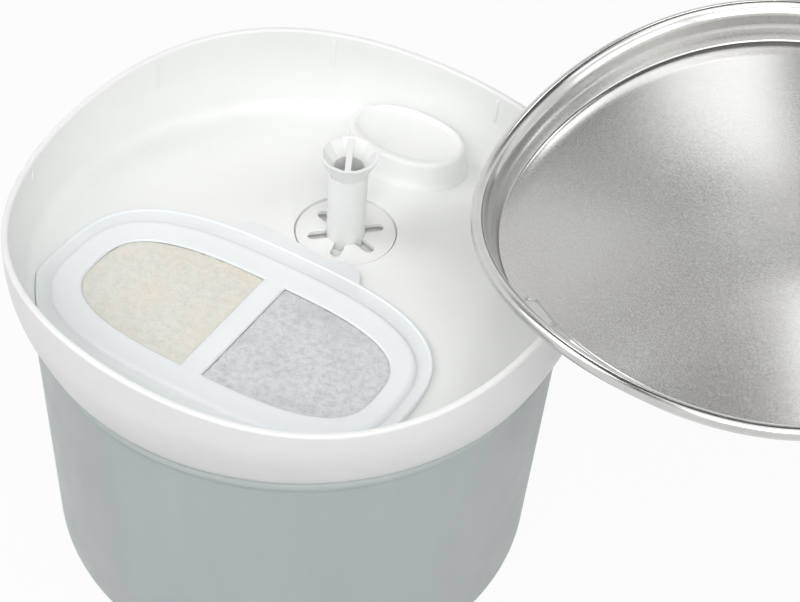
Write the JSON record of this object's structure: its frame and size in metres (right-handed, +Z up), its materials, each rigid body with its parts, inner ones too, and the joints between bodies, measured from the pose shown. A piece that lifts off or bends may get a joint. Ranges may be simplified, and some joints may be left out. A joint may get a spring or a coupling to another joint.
{
  "type": "pet water fountain",
  "caption": "Round pet water fountain: frosted tank, white wavy-rimmed basin with riser tube, drain grating and filter cassette, submersible pump, and a steel drinking dish shown lifted off.",
  "frame": {"origin": "middle of the tank's underside, on the surface that it stands on", "axes": "+Z up, along the tank's axis; -Y is the front, the side of the filter cassette; the dish is held off towards +X"},
  "size_m": [0.3622, 0.2737, 0.2275],
  "materials": {
    "frosted_plastic": "frosted translucent plastic",
    "white_plastic": "smooth white moulded plastic",
    "stainless_steel": "satin stainless steel with a polished bead",
    "cassette_plastic": "milky bluish-white plastic",
    "fibre_fleece": "cream fibre fleece with yellow flecks",
    "carbon_fleece": "grey fleece with carbon granules",
    "pump_plastic": "dark moulded plastic",
    "slider_plastic": "grey moulded plastic",
    "impeller_plastic": "white moulded plastic",
    "ferrite": "dark sintered ferrite",
    "shaft_steel": "ground stainless steel",
    "soft_rubber": "ivory rubber",
    "core_steel": "laminated core steel",
    "copper_wire": "enamelled copper winding",
    "clear_rubber": "translucent soft rubber",
    "black_rubber": "black rubber"
  },
  "bodies": {
    "tank_body": {"tank": "frosted_plastic", "pump_housing": "pump_plastic", "pump_back_cap": "pump_plastic", "stator_core": "core_steel", "stator_coil": "copper_wire", "rear_bush": "soft_rubber", "rotor_shaft": "shaft_steel", "suction_cups": "clear_rubber", "outlet_adaptor": "clear_rubber", "cable_gland": "black_rubber"},
    "basin_body": {"basin": "white_plastic"},
    "tray_body": {"steel_tray": "stainless_steel"},
    "tube_body": {"riser_tube": "white_plastic"},
    "disc_body": {"grating_disc": "white_plastic"},
    "cassette_body": {"cassette_base": "cassette_plastic", "fibre_pad": "fibre_fleece", "carbon_pad": "carbon_fleece"},
    "lid_body": {"cassette_lid": "cassette_plastic"},
    "cover_body": {"pump_front_cover": "pump_plastic", "front_bush": "soft_rubber"},
    "slider_body": {"flow_slider": "slider_plastic"},
    "rotor_body": {"impeller": "impeller_plastic", "rotor_magnet": "ferrite"}
  },
  "joints": [
    {"name": "basin_lift", "type": "slide", "parent": "tank_body", "child": "basin_body", "axis": [0, 0, 1], "range_m": [0, 0.1]},
    {"name": "tray_lift", "type": "slide", "parent": "basin_body", "child": "tray_body", "axis": [0, 0, 1], "range_m": [0, 0.06]},
    {"name": "tube_pull", "type": "slide", "parent": "basin_body", "child": "tube_body", "axis": [0, 0, 1], "range_m": [0, 0.12]},
    {"name": "grating_lift", "type": "slide", "parent": "basin_body", "child": "disc_body", "axis": [0, 0, 1], "range_m": [0, 0.022]},
    {"name": "cassette_lift", "type": "slide", "parent": "basin_body", "child": "cassette_body", "axis": [0, 0, 1], "range_m": [0, 0.03]},
    {"name": "cassette_lid_unclip", "type": "slide", "parent": "cassette_body", "child": "lid_body", "axis": [0, 0, 1], "range_m": [0, 0.02]},
    {"name": "pump_cover_pull", "type": "slide", "parent": "tank_body", "child": "cover_body", "axis": [0, -1, 0], "range_m": [0, 0.018]},
    {"name": "flow_slide", "type": "slide", "parent": "cover_body", "child": "slider_body", "axis": [1, 0, 0], "range_m": [0, 0.006]},
    {"name": "impeller_spin", "type": "hinge", "parent": "tank_body", "child": "rotor_body", "pos_m": [0, 0.0317, 0.0293], "axis": [0, 1, 0], "continuous": true}
  ]
}
